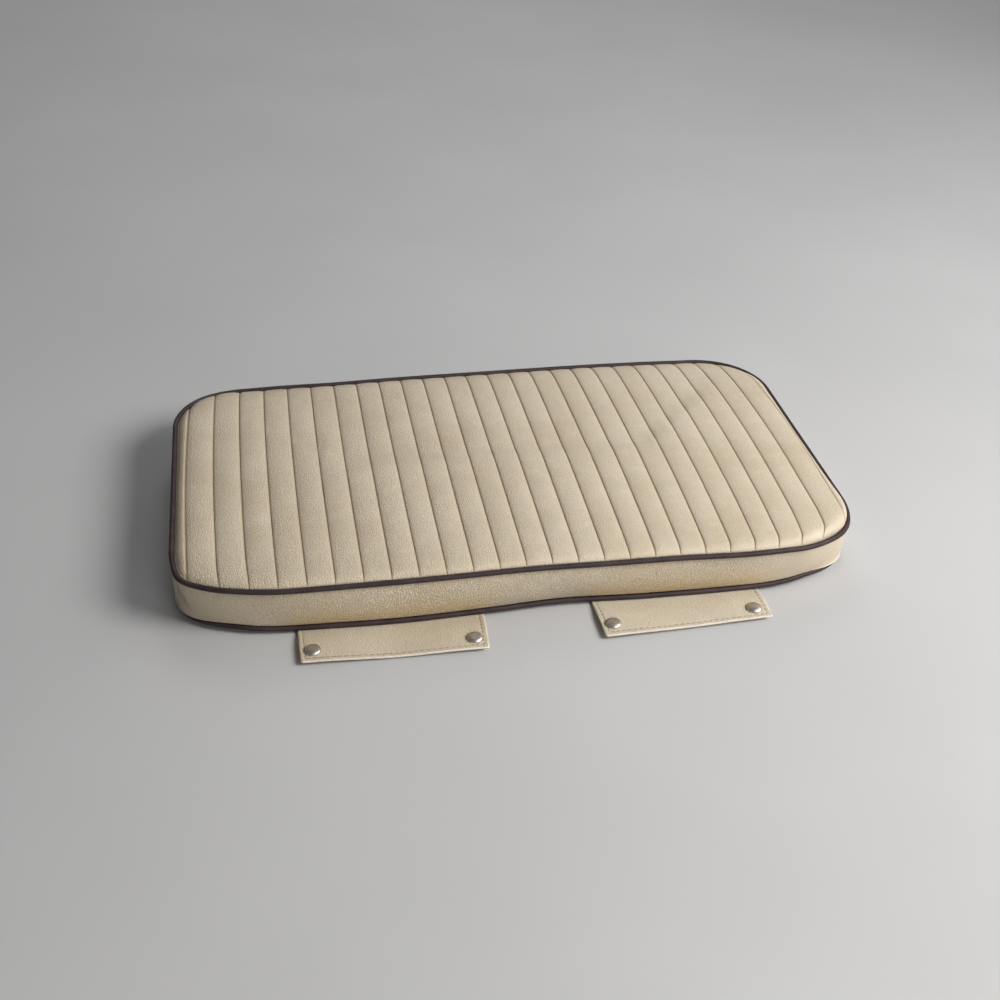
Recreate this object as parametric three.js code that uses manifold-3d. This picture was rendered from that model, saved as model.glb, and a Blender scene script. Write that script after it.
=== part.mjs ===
// Seat cushion for the lid of a cooler: a fluted vinyl pad, piped along both edges, with two snap flaps.
// Millimetres. +X runs along the length, +Y to the back and +Z up, and the origin is the centre of
// the flat underside.

import * as THREE from 'three';
import { mergeVertices } from 'three/addons/utils/BufferGeometryUtils.js';
import Module from 'manifold-3d';

// Pad, between the centrelines of its piping
const padLength = 659;
const padDepth = 365;
const cornerRadius = 74;
const boxingHeight = 49;
const lowerPipingHeight = 5.5;

// Piping, and the clearance between pieces that touch
const pipingRadius = 2.6;
const fitGap = 0.3;

// Fluted top panel
const channelCount = 25;
const channelPitch = 25.4;
const grooveDepth = 2.6;
const channelRoundness = 3.2;
const domeRise = 1.5;
const panelEdgeInset = 3.1;
const grooveFade = 7;
const endSeamDepth = 0.35;

// How the boxing hangs between its two pipings: how far it bulges, how far it comes to overhang the
// lower one, where round that piping, in degrees from straight out, it folds and is sewn, and how
// far from the piping's centre the fold lies. The lower an end's onset, the sooner its figures take
// over from the front's and the back's round the corners.
const boxing = {
  front: { bulge: 2.4, overhang: 0, fold: 100, foldReach: 3.6, seam: 120 },
  right: { bulge: 3.6, overhang: 3.5, fold: -14, foldReach: 4.9, seam: -10, onset: 1 },
  back: { bulge: 2.4, overhang: 0, fold: 100, foldReach: 3.6, seam: 120 },
  left: { bulge: 3, overhang: 3.5, fold: 4, foldReach: 3.9, seam: 8 },
};
const boxingSetback = 0.6;
const hollowEnd = 240;

// Under the lower piping the pad curls in to its flat base: how far out each ring lies, its height,
// and the share of the piping's lift that it takes
const underside = [
  { out: -2.8, height: 1.5, lifted: 0.8 },
  { out: -5.5, height: 0.5, lifted: 0.4 },
  { out: -11, height: 0, lifted: 0 },
];

// Snap flaps and snaps
const flapThickness = 2.2;
const flapRootTuck = 1.2;
const flapRootHeight = 0.4;
const flapCornerRadius = 2.6;
const snapCapRadius = 7.5;
const snapCapHeight = 3.4;
const snapPostRadius = 2.2;
const socketRadius = 6.4;
const socketHeight = 3.2;
const socketMouthRadius = 4.8;
const socketPlate = 0.8;
const postFlare = 0.9;
const postFlareThickness = 0.4;

const halfLength = padLength / 2;
const halfDepth = padDepth / 2;
const upperPipingHeight = lowerPipingHeight + boxingHeight;

// The seams between channels: an even pitch, drawn a little out of even by the sewing.
// The four numbers weigh 1, t, t squared and t cubed, with t from -1 to 1 along the pad.
const seamDrift = { shift: 4.3, squeeze: -8.8, lean: -4.7, flare: 5 };

// How far a seam bows outwards half-way along it, on each side of the seam that runs straight
const straightSeam = -80;
const seamBow = {
  left: { amount: -3.5, reach: 235 },
  right: { amount: 10, reach: 395 },
};

// Behind each edge: how high the panel stands over the upper piping, how soon it gets there, how
// high its sewn edge is, and where round the piping, in degrees from straight out, it is sewn
const shoulders = {
  front: { rise: 7.6, reach: 3.4, edge: 2.9, seam: 145 },
  right: { rise: 7.4, reach: 3, edge: 2.9, seam: 145 },
  back: { rise: 5.6, reach: 11, edge: 0.5, seam: 168 },
  left: { rise: 6.6, reach: 5, edge: 2.9, seam: 145 },
};

// Each sewn edge: how far inside the true outline it runs along each side and how far it rises
// there, and where it wanders. A push is outwards, a lift is upwards, and both die away over reach.
const upperEdge = {
  sides: {
    front: { inset: 0, rise: 0 },
    right: { inset: 1.3, rise: 0 },
    back: { inset: 0.3, rise: 0 },
    left: { inset: 0, rise: 0 },
  },
  wander: [
    { x: -322, y: -152, push: 5.5, lift: 0, reach: 14 },
    { x: -272, y: -182, push: -4.6, lift: 0, reach: 20 },
    { x: -5, y: -182, push: -2.3, lift: 0, reach: 45 },
    { x: 208, y: -182, push: 3.8, lift: 0, reach: 38 },
    { x: 280, y: -172, push: -2.4, lift: -2.6, reach: 24 },
    { x: 315, y: -152, push: 2.4, lift: -3, reach: 22 },
    { x: -266, y: 180, push: -3.6, lift: -0.9, reach: 30 },
    { x: -175, y: 182, push: -2.2, lift: -0.9, reach: 50 },
    { x: 112, y: 182, push: 1.7, lift: 0, reach: 70 },
    { x: 262, y: 180, push: -2.2, lift: 0, reach: 32 },
  ],
};
const lowerEdge = {
  sides: {
    front: { inset: 7.5, rise: 0 },
    right: { inset: 4, rise: 0 },
    back: { inset: 5, rise: 0 },
    left: { inset: 2.2, rise: 0 },
  },
  wander: [
    { x: -322, y: -140, push: 1.5, lift: 0.5, reach: 18 },
    { x: -282, y: -175, push: -4.5, lift: 2, reach: 24 },
    { x: -130, y: -182, push: 3.2, lift: 0, reach: 50 },
    { x: 30, y: -182, push: -3.4, lift: 0.6, reach: 38 },
    { x: 185, y: -182, push: 0.8, lift: 0, reach: 45 },
    { x: 279, y: -174, push: -5.2, lift: 3.8, reach: 20 },
    { x: 322, y: -140, push: 2.4, lift: 1, reach: 18 },
    { x: 310, y: 165, push: -2, lift: 1, reach: 30 },
    { x: -310, y: 165, push: -2, lift: 1, reach: 30 },
  ],
};
const shiftFade = 60;

// The two flaps: x of their sides at the root and the tip, y of the tip's ends, how far the tip
// sags between its snaps, and the snaps' centres
const flaps = [
  {
    name: 'flap_left', rootLeft: -220.8, rootRight: -46, tipLeft: -220.1, tipRight: -49.6,
    tipLeftY: -223, tipRightY: -227.1, sag: 2,
    snaps: [{ x: -208.4, y: -209.2 }, { x: -61, y: -212.8 }],
  },
  {
    name: 'flap_right', rootLeft: 58.6, rootRight: 225.4, tipLeft: 59.4, tipRight: 224.2,
    tipLeftY: -227.3, tipRightY: -221.1, sag: 0.8,
    snaps: [{ x: 70.4, y: -211.4 }, { x: 209.6, y: -208.2 }],
  },
];

const longSteps = 22;
const shortSteps = 9;
const cornerSteps = 12;

const cream = new THREE.Color(0xd6c7ac);
const brown = new THREE.Color(0x33262a);
const nickel = new THREE.Color(0xb4afa8);

function mix(a, b, t) {
  return a + (b - a) * t;
}

function smoothStep(t) {
  const s = THREE.MathUtils.clamp(t, 0, 1);
  return s * s * (3 - 2 * s);
}

// Stations round the pad's outline, anticlockwise from the left end of the front edge: each side
// is a straight run and the quarter turn after it
function outlineStations() {
  const sides = [
    { facing: -Math.PI / 2, steps: longSteps },
    { facing: 0, steps: shortSteps },
    { facing: Math.PI / 2, steps: longSteps },
    { facing: Math.PI, steps: shortSteps },
  ];
  const turnCentre = (facing) => {
    const diagonal = facing + Math.PI / 4;
    return new THREE.Vector2(
      Math.sign(Math.cos(diagonal)) * (halfLength - cornerRadius),
      Math.sign(Math.sin(diagonal)) * (halfDepth - cornerRadius),
    );
  };
  const stations = [];
  const addStation = (centre, angle) => {
    const normal = new THREE.Vector2(Math.cos(angle), Math.sin(angle));
    stations.push({ point: centre.clone().addScaledVector(normal, cornerRadius), normal });
  };
  for (const { facing, steps } of sides) {
    const start = turnCentre(facing - Math.PI / 2);
    const end = turnCentre(facing);
    for (let i = 0; i < steps; i += 1) {
      addStation(start.clone().lerp(end, i / steps), facing);
    }
    for (let i = 0; i < cornerSteps; i += 1) {
      addStation(end, facing + (Math.PI / 2) * (i / cornerSteps));
    }
  }
  return stations;
}

// Distance inside the outline, and the direction straight out to it
function nearestEdge(x, y) {
  const overX = Math.abs(x) - (halfLength - cornerRadius);
  const overY = Math.abs(y) - (halfDepth - cornerRadius);
  if (overX > 0 && overY > 0) {
    const reach = Math.hypot(overX, overY);
    const normal = new THREE.Vector2(Math.sign(x) * overX, Math.sign(y) * overY).divideScalar(reach);
    return { inset: cornerRadius - reach, normal };
  }
  if (overX > overY) {
    return { inset: cornerRadius - overX, normal: new THREE.Vector2(Math.sign(x), 0) };
  }
  return { inset: cornerRadius - overY, normal: new THREE.Vector2(0, Math.sign(y)) };
}

// A figure kept for each side, blended round the corners
function besideEdge(sides, normal, figure) {
  const alongX = normal.x > 0 ? sides.right : sides.left;
  const alongY = normal.y > 0 ? sides.back : sides.front;
  return mix(alongY[figure], alongX[figure], Math.abs(normal.x) ** (alongX.onset ?? 2));
}

// How a sewn edge departs from the true outline, carried on to a point of the plan
function edgeShift(x, y, edge) {
  const { inset, normal } = nearestEdge(x, y);
  const drawnIn = besideEdge(edge.sides, normal, 'inset') * Math.exp(-Math.max(inset, 0) / shiftFade);
  const shift = new THREE.Vector3(
    -normal.x * drawnIn,
    -normal.y * drawnIn,
    besideEdge(edge.sides, normal, 'rise'),
  );
  for (const row of edge.wander) {
    const share = Math.exp(-((x - row.x) ** 2 + (y - row.y) ** 2) / (2 * row.reach ** 2));
    const outwards = nearestEdge(row.x, row.y).normal;
    shift.x += outwards.x * row.push * share;
    shift.y += outwards.y * row.push * share;
    shift.z += row.lift * share;
  }
  return shift;
}

// Half the depth of the top panel at x
function panelHalfDepth(x) {
  const radius = cornerRadius - panelEdgeInset;
  const overX = Math.max(Math.abs(x) - (halfLength - cornerRadius), 0);
  return halfDepth - cornerRadius + Math.sqrt(Math.max(radius ** 2 - overX ** 2, 0));
}

function seamAt(index) {
  const fromMiddle = index - channelCount / 2;
  const t = fromMiddle / (channelCount / 2);
  const { shift, squeeze, lean, flare } = seamDrift;
  return fromMiddle * channelPitch + shift + squeeze * t + lean * t ** 2 + flare * t ** 3;
}

function bowAt(x) {
  const fromStraight = x - straightSeam;
  const { amount, reach } = fromStraight > 0 ? seamBow.right : seamBow.left;
  return amount * (Math.abs(fromStraight) / reach) ** 1.5;
}

// Columns of the top panel. Each holds its x, its bow, and how deep it lies in the nearest
// groove, from 0 on the crest of a channel to 1 in a full seam. The outermost seams are shallow.
function panelColumns() {
  const across = [-1, -0.8, -0.45, 0, 0.45, 0.8];
  const acrossEnd = [-1, -0.6, 0, 0.6];
  const columns = [];
  const addChannel = (from, to, shares) => {
    for (const share of shares) {
      const t = (share + 1) / 2;
      columns.push({
        x: mix(from.x, to.x, t),
        bow: mix(from.bow, to.bow, t),
        depth: mix(from.depth, to.depth, t) * Math.abs(share) ** channelRoundness,
      });
    }
  };
  const edge = halfLength - panelEdgeInset;
  const seams = [];
  for (let k = 0; k <= channelCount; k += 1) {
    const x = seamAt(k);
    seams.push({ x, bow: bowAt(x), depth: 1 });
  }
  seams[0].depth = endSeamDepth;
  seams[channelCount].depth = endSeamDepth;
  addChannel({ x: -edge, bow: 0, depth: 0 }, seams[0], acrossEnd);
  for (let k = 0; k < channelCount; k += 1) {
    addChannel(seams[k], seams[k + 1], across);
  }
  addChannel(seams[channelCount], { x: edge, bow: 0, depth: 0 }, [...acrossEnd, 1]);
  return columns;
}

// A point of the top panel. The panel climbs from the piping over a rounded shoulder, and each
// seam draws it down into a groove.
function panelPoint(x, y, depth) {
  const { inset, normal } = nearestEdge(x, y);
  const shift = edgeShift(x, y, upperEdge);
  const inwards = Math.max(inset - panelEdgeInset, 0);
  const edge = besideEdge(shoulders, normal, 'edge') + shift.z;
  const climb = Math.exp(-inwards / besideEdge(shoulders, normal, 'reach'));
  const shoulder = mix(besideEdge(shoulders, normal, 'rise'), edge, climb);
  const dome = domeRise * (1 - (x / halfLength) ** 2) * (1 - (y / halfDepth) ** 2);
  const groove = grooveDepth * depth * smoothStep(inwards / grooveFade);
  return [x + shift.x, y + shift.y, upperPipingHeight + shoulder + dome - groove];
}

function solidFrom(positions, faces) {
  const geometry = new THREE.BufferGeometry();
  geometry.setAttribute('position', new THREE.Float32BufferAttribute(positions.flat(), 3));
  geometry.setIndex(faces.flat());
  geometry.computeVertexNormals();
  return geometry;
}

// Faces between two closed rings of the same count, facing outwards when the first is the upper one
function bandFaces(upper, lower) {
  const faces = [];
  upper.forEach((top, i) => {
    const next = (i + 1) % upper.length;
    faces.push([top, lower[i], lower[next]], [top, lower[next], upper[next]]);
  });
  return faces;
}

// Faces between two closed rings of different counts, always moving on along the ring that lags
function bridgeFaces(positions, outer, inner) {
  const turnOf = (index) => Math.atan2(positions[index][1], positions[index][0]);
  const inOrder = (ring) => {
    const sorted = ring.map((index) => ({ index, turn: turnOf(index) }));
    sorted.sort((a, b) => a.turn - b.turn);
    return [...sorted, { index: sorted[0].index, turn: sorted[0].turn + 2 * Math.PI }];
  };
  const a = inOrder(outer);
  const b = inOrder(inner);
  const faces = [];
  let i = 0;
  let j = 0;
  while (i < a.length - 1 || j < b.length - 1) {
    const outerLags = j === b.length - 1 || (i < a.length - 1 && a[i + 1].turn < b[j + 1].turn);
    if (outerLags) {
      faces.push([a[i].index, a[i + 1].index, b[j].index]);
      i += 1;
    } else {
      faces.push([a[i].index, b[j + 1].index, b[j].index]);
      j += 1;
    }
  }
  return faces;
}

// Where the centre of each piping runs at a station
function pipingCentre(station, level) {
  const { x, y } = station.point;
  const isUpper = level === 'upper';
  const height = isUpper ? upperPipingHeight : lowerPipingHeight;
  return new THREE.Vector3(x, y, height).add(edgeShift(x, y, isUpper ? upperEdge : lowerEdge));
}

// The pad's side, as rings from the top seam down to the flat underside. The pad is hollowed
// beside each piping, the boxing hangs between them, and the underside curls in to the base.
function sideRings(stations) {
  const hollow = (pipingRadius + fitGap) / Math.cos(Math.PI / 12);
  const beside = (station, level, reach, degrees) => {
    const angle = THREE.MathUtils.degToRad(degrees);
    return {
      centre: pipingCentre(station, level),
      out: reach * Math.cos(angle),
      up: reach * Math.sin(angle),
    };
  };
  const rings = [];
  const addRing = (place) => {
    rings.push(stations.map((station) => {
      const { centre, out, up } = place(station);
      return [
        centre.x + station.normal.x * out,
        centre.y + station.normal.y * out,
        centre.z + up,
      ];
    }));
  };
  const addHollow = (level, sides, steps) => {
    for (let i = 0; i <= steps; i += 1) {
      addRing((station) => {
        const seam = besideEdge(sides, station.normal, 'seam');
        return beside(station, level, hollow, mix(seam, hollowEnd, i / steps));
      });
    }
  };
  addHollow('upper', shoulders, 4);
  for (const t of [0.1, 0.3, 0.5, 0.7, 0.9]) {
    addRing((station) => {
      const bulge = besideEdge(boxing, station.normal, 'bulge') * Math.sin(Math.PI * t);
      const overhang = besideEdge(boxing, station.normal, 'overhang') * t;
      return {
        centre: pipingCentre(station, 'upper').lerp(pipingCentre(station, 'lower'), t),
        out: bulge + overhang - boxingSetback,
        up: 0,
      };
    });
  }
  addRing((station) => {
    const reach = besideEdge(boxing, station.normal, 'foldReach');
    return beside(station, 'lower', reach, besideEdge(boxing, station.normal, 'fold'));
  });
  addHollow('lower', boxing, 8);
  for (const { out, height, lifted } of underside) {
    addRing((station) => {
      const centre = pipingCentre(station, 'lower');
      const lift = centre.z - lowerPipingHeight;
      return { centre, out, up: height + lift * lifted - centre.z };
    });
  }
  return rings;
}

function makeCushion(stations) {
  const positions = [];
  const faces = [];
  const addPoint = (point) => positions.push(point) - 1;

  const fromEdge = [0, 2, 5.5, 12, 32];
  const grid = panelColumns().map(({ x, bow, depth }) => {
    const reach = panelHalfDepth(x);
    const front = [...fromEdge.map((inwards) => inwards - reach), -0.45 * reach];
    const rows = [...front, 0, ...front.map((y) => -y).reverse()];
    return rows.map((y) => addPoint(panelPoint(x + bow * (1 - (y / reach) ** 2), y, depth)));
  });
  for (let c = 0; c + 1 < grid.length; c += 1) {
    for (let r = 0; r + 1 < grid[c].length; r += 1) {
      const [a, b] = [grid[c][r], grid[c + 1][r]];
      const [d, e] = [grid[c][r + 1], grid[c + 1][r + 1]];
      faces.push([a, b, e], [a, e, d]);
    }
  }
  const panelEdge = [
    ...grid.map((column) => column[0]),
    ...grid.at(-1).slice(1),
    ...grid.slice(0, -1).reverse().map((column) => column.at(-1)),
    ...grid[0].slice(1, -1).reverse(),
  ];

  const rings = sideRings(stations).map((ring) => ring.map(addPoint));
  faces.push(...bridgeFaces(positions, rings[0], panelEdge));
  for (let k = 0; k + 1 < rings.length; k += 1) {
    faces.push(...bandFaces(rings[k], rings[k + 1]));
  }
  const base = rings.at(-1);
  const baseCentre = addPoint([0, 0, 0]);
  base.forEach((index, i) => {
    faces.push([baseCentre, base[(i + 1) % base.length], index]);
  });
  return solidFrom(positions, faces);
}

// A closed ring of piping: an eight-sided section swept round the stations
function makePiping(stations, level) {
  const sides = 8;
  const positions = [];
  const rings = [];
  for (let s = 0; s < sides; s += 1) {
    const angle = (s / sides) * 2 * Math.PI;
    rings.push(stations.map((station) => {
      const centre = pipingCentre(station, level);
      const out = pipingRadius * Math.cos(angle);
      return positions.push([
        centre.x + station.normal.x * out,
        centre.y + station.normal.y * out,
        centre.z + pipingRadius * Math.sin(angle),
      ]) - 1;
    }));
  }
  const faces = rings.flatMap((ring, s) => bandFaces(rings[(s + 1) % sides], ring));
  return solidFrom(positions, faces);
}

// Front of the lower piping's centreline at x
function lowerEdgeY(x) {
  return edgeShift(x, -halfDepth, lowerEdge).y - halfDepth;
}

// Underside of a flap: it leaves the bottom seam, climbs on to the sockets and sags between them
function flapHeight(flap, x, fromRoot) {
  const [from, to] = [flap.snaps[0].x + socketRadius, flap.snaps[1].x - socketRadius];
  const between = THREE.MathUtils.clamp((x - from) / (to - from), 0, 1);
  const sag = flap.sag * Math.sin(Math.PI * between) ** 2;
  return mix(flapRootHeight, socketHeight + fitGap - sag, smoothStep(fromRoot / 0.55));
}

function makeFlapSheet(flap) {
  const columns = 14;
  const rowsFromRoot = [0, 0.1, 0.25, 0.4, 0.55, 0.75];
  const rowsFromTip = [flapCornerRadius, 1.2, 0.4, 0];
  const positions = [];
  const layer = (raise) => {
    const rows = [];
    const addRow = (place) => {
      const row = [];
      for (let i = 0; i <= columns; i += 1) {
        row.push(positions.push(place(i / columns)) - 1);
      }
      rows.push(row);
    };
    const pointAt = (u, v, fromTip, narrowed) => {
      const rootX = mix(flap.rootLeft, flap.rootRight, u);
      const tipX = mix(flap.tipLeft + narrowed, flap.tipRight - narrowed, u);
      const rootY = lowerEdgeY(rootX) + flapRootTuck;
      const tipY = mix(flap.tipLeftY, flap.tipRightY, u) + fromTip;
      const x = mix(rootX, tipX, v);
      return [x, mix(rootY, tipY, v), flapHeight(flap, x, v) + raise];
    };
    for (const v of rowsFromRoot) {
      addRow((u) => pointAt(u, v, 0, 0));
    }
    for (const fromTip of rowsFromTip) {
      const cut = flapCornerRadius - fromTip;
      const narrowed = flapCornerRadius - Math.sqrt(flapCornerRadius ** 2 - cut ** 2);
      addRow((u) => pointAt(u, 1, fromTip, narrowed));
    }
    return rows;
  };
  const under = layer(0);
  const over = layer(flapThickness);
  const faces = [];
  for (let r = 0; r + 1 < over.length; r += 1) {
    for (let i = 0; i < columns; i += 1) {
      const quad = (rows) => [rows[r][i], rows[r + 1][i], rows[r + 1][i + 1], rows[r][i + 1]];
      const [a, b, c, d] = quad(over);
      const [e, f, g, h] = quad(under);
      faces.push([a, b, c], [a, c, d], [e, g, f], [e, h, g]);
    }
  }
  const rim = (rows) => [
    ...rows.map((row) => row[0]),
    ...rows.at(-1).slice(1),
    ...rows.slice(0, -1).reverse().map((row) => row.at(-1)),
    ...rows[0].slice(1, -1).reverse(),
  ];
  faces.push(...bandFaces(rim(over), rim(under)));
  return solidFrom(positions, faces);
}

const wasm = await Module();
wasm.setup();

function toManifold(geometry) {
  const bare = geometry.clone();
  bare.deleteAttribute('normal');
  bare.deleteAttribute('uv');
  const merged = mergeVertices(bare);
  return new wasm.Manifold(new wasm.Mesh({
    numProp: 3,
    vertProperties: new Float32Array(merged.attributes.position.array),
    triVerts: new Uint32Array(merged.index.array),
  }));
}

function fromManifold(manifold) {
  const mesh = manifold.getMesh();
  const geometry = new THREE.BufferGeometry();
  geometry.setAttribute('position', new THREE.BufferAttribute(mesh.vertProperties, 3));
  geometry.setIndex(new THREE.BufferAttribute(mesh.triVerts, 1));
  geometry.computeVertexNormals();
  return geometry;
}

// A flap with a hole for each snap's post
function makeFlap(flap) {
  let sheet = toManifold(makeFlapSheet(flap));
  for (const snap of flap.snaps) {
    const drill = new THREE.CylinderGeometry(
      snapPostRadius + fitGap, snapPostRadius + fitGap, 6 * flapThickness, 16,
    );
    drill.rotateX(Math.PI / 2);
    drill.translate(snap.x, snap.y, socketHeight + flapThickness / 2);
    sheet = sheet.subtract(toManifold(drill));
  }
  return fromManifold(sheet);
}

function turned(profile, segments) {
  const points = profile.map(([radius, height]) => new THREE.Vector2(radius, height));
  const geometry = new THREE.LatheGeometry(points, segments);
  geometry.rotateX(Math.PI / 2);
  return geometry;
}

// Domed cap with its post, which is flared under the socket's plate. Height 0 is the flap's top.
function makeSnapCap() {
  const flareTop = -flapThickness - socketPlate - 2 * fitGap;
  const flareRadius = snapPostRadius + postFlare;
  const dome = [80, 60, 40, 20].map((degrees) => {
    const angle = THREE.MathUtils.degToRad(degrees);
    const rimHeight = fitGap + 0.7;
    return [
      snapCapRadius * Math.sin(angle),
      rimHeight + (snapCapHeight - 0.7) * Math.cos(angle),
    ];
  });
  return turned([
    [0, flareTop - postFlareThickness],
    [flareRadius, flareTop - postFlareThickness],
    [flareRadius, flareTop],
    [snapPostRadius, flareTop],
    [snapPostRadius, fitGap],
    [snapCapRadius - 0.5, fitGap],
    [snapCapRadius, fitGap + 0.4],
    ...dome,
    [0, fitGap + snapCapHeight],
  ], 24);
}

// Socket, open downwards for the stud it snaps on to
function makeSnapSocket() {
  const bevel = 0.35;
  const holeRadius = snapPostRadius + fitGap;
  const ceiling = socketHeight - socketPlate;
  return turned([
    [socketMouthRadius, 0],
    [socketRadius - bevel, 0],
    [socketRadius, bevel],
    [socketRadius, socketHeight - bevel],
    [socketRadius - bevel, socketHeight],
    [holeRadius, socketHeight],
    [holeRadius, ceiling],
    [socketMouthRadius, ceiling],
    [socketMouthRadius, 0],
  ], 20);
}

function addMesh(group, name, geometry, color, roughness, metalness) {
  const material = new THREE.MeshStandardMaterial({ color, roughness, metalness });
  const mesh = new THREE.Mesh(geometry, material);
  mesh.name = name;
  group.add(mesh);
  return mesh;
}

const vinylRoughness = 0.5;
const nickelRoughness = 0.3;
const part = new THREE.Group();
const stations = outlineStations();
addMesh(part, 'cushion', makeCushion(stations), cream, vinylRoughness, 0);
addMesh(part, 'piping_top', makePiping(stations, 'upper'), brown, vinylRoughness, 0);
addMesh(part, 'piping_bottom', makePiping(stations, 'lower'), brown, vinylRoughness, 0);

let snapNumber = 1;
for (const flap of flaps) {
  addMesh(part, flap.name, makeFlap(flap), cream, vinylRoughness, 0);
  for (const snap of flap.snaps) {
    const cap = addMesh(part, `snap_cap_${snapNumber}`, makeSnapCap(), nickel, nickelRoughness, 1);
    cap.position.set(snap.x, snap.y, socketHeight + fitGap + flapThickness);
    const socket = addMesh(
      part, `snap_socket_${snapNumber}`, makeSnapSocket(), nickel, nickelRoughness, 1,
    );
    socket.position.set(snap.x, snap.y, 0);
    snapNumber += 1;
  }
}

export default part;
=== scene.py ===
import math

import bpy
import numpy as np
from mathutils import Euler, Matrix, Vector


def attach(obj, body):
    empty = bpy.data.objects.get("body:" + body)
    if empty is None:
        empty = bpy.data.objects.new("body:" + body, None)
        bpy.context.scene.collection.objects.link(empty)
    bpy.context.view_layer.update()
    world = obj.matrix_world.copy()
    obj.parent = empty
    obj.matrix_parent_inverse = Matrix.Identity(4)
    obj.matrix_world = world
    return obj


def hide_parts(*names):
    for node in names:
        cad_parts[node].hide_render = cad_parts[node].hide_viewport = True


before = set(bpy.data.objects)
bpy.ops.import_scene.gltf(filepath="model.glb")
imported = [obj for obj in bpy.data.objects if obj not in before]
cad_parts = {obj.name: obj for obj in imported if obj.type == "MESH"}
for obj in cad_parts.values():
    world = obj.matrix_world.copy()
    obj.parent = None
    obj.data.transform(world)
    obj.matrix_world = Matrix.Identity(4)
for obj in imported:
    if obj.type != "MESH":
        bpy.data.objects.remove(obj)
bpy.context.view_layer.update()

# Cooler seat cushion: fluted cream vinyl, brown piping, two snap flaps. Shapes are worked out in
# millimetres, in the part's own frame, and turned into metres as each mesh is made.
mm = 0.001


def smoothStep(t):
    s = np.clip(t, 0, 1)
    return s * s * (3 - 2 * s)


def mix(a, b, t):
    return a + (b - a) * t


def addObject(name, data):
    piece = bpy.data.objects.new(name, data)
    bpy.context.scene.collection.objects.link(piece)
    return piece


def meshObject(name, points, faces, smooth=True):
    mesh = bpy.data.meshes.new(name)
    mesh.from_pydata([tuple(p) for p in np.asarray(points, float) * mm], [], faces)
    mesh.validate()
    if smooth:
        mesh.shade_smooth()
    return addObject(name, mesh)


# Gives a piece the cream vinyl, the marks that the vinyl reads, and one level of subdivision
def coverInVinyl(piece, **marks):
    for name, values in marks.items():
        layer = piece.data.attributes.new(name, "FLOAT", "POINT")
        layer.data.foreach_set("value", np.asarray(values, np.float32))
    piece.data.materials.append(creamVinyl)
    surface = piece.modifiers.new("smooth", "SUBSURF")
    surface.levels = surface.render_levels = 1
    return piece


def gridFaces(grid):
    return [(grid[c, r], grid[c + 1, r], grid[c + 1, r + 1], grid[c, r + 1])
            for c in range(grid.shape[0] - 1) for r in range(grid.shape[1] - 1)]


def bandFaces(upper, lower):
    count = len(upper)
    return [(upper[i], lower[i], lower[(i + 1) % count], upper[(i + 1) % count])
            for i in range(count)]


# Joins rings of points, numbered from start on, to the border and to each other
def joinRings(border, rings, start):
    faces, previous = [], border
    for ring in rings:
        indices = list(range(start, start + len(ring)))
        faces += bandFaces(previous, indices)
        previous = indices
        start += len(ring)
    return faces, previous


# An input of a node is either a plain value or the output of another node
def feed(tree, node, inputs):
    for key, value in inputs.items():
        if isinstance(value, bpy.types.NodeSocket):
            tree.links.new(value, node.inputs[key])
        else:
            node.inputs[key].default_value = value


def put(tree, kind, inputs=None, **settings):
    node = tree.nodes.new(kind)
    for key, value in settings.items():
        setattr(node, key, value)
    feed(tree, node, inputs or {})
    return node


def maths(tree, operation, first, second):
    return put(tree, "ShaderNodeMath", {0: first, 1: second}, operation=operation).outputs[0]


view = {
    "place": (-0.23092, -1.11641, 0.80662),
    "turn": (54.91014, -1.9578, -10.37338),
    "lens": 47.611, "sensorWidth": 36, "sightEnd": 50,
}

# Disc lamps, aimed at the middle of the pad unless a row says otherwise
lights = {
    "key": {"place": (1.62, -1.12, 1.62), "size": 1.25, "watts": 62.5, "colour": (1, 0.985, 0.96)},
    "side": {"place": (1.6, 0, 1.2), "size": 1.0, "watts": 6.5, "colour": (1, 1, 1)},
    "back": {"place": (0, 1.9, 2.4), "size": 1.6, "watts": 11, "colour": (0.97, 0.98, 1)},
    "low": {"place": (0.55, -1.85, 0.5), "size": 1.0, "watts": 7, "colour": (1, 0.98, 0.95)},
    "far": {"place": (0.4, 2.7, 2.0), "aim": (0.4, 2.7, 0), "size": 2.0, "watts": 11,
            "colour": (1, 1, 1)},
}
padMiddle = (0, 0, 0.03)
sky = {"Color": (1, 1, 1, 1), "Strength": 0.11}


def addCamera():
    camera = addObject("camera", bpy.data.cameras.new("camera"))
    camera.location = view["place"]
    camera.rotation_euler = Euler([math.radians(a) for a in view["turn"]])
    camera.data.lens = view["lens"]
    camera.data.sensor_width = view["sensorWidth"]
    camera.data.clip_end = view["sightEnd"]
    bpy.context.scene.camera = camera


def addLights():
    for name, sort in lights.items():
        lamp = bpy.data.lights.new(name, "AREA")
        lamp.shape = "DISK"
        lamp.size = sort["size"]
        lamp.energy = sort["watts"]
        lamp.color = sort["colour"]
        holder = addObject(name, lamp)
        holder.location = sort["place"]
        aim = Vector(sort.get("aim", padMiddle))
        holder.rotation_euler = (aim - holder.location).to_track_quat("-Z", "Y").to_euler()
    world = bpy.data.worlds.new("studio")
    world.use_nodes = True
    feed(world.node_tree, world.node_tree.nodes["Background"], sky)
    bpy.context.scene.world = world
    bpy.context.scene.view_settings.view_transform = "Standard"


addCamera()
addLights()
print("camera and lights placed")


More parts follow.
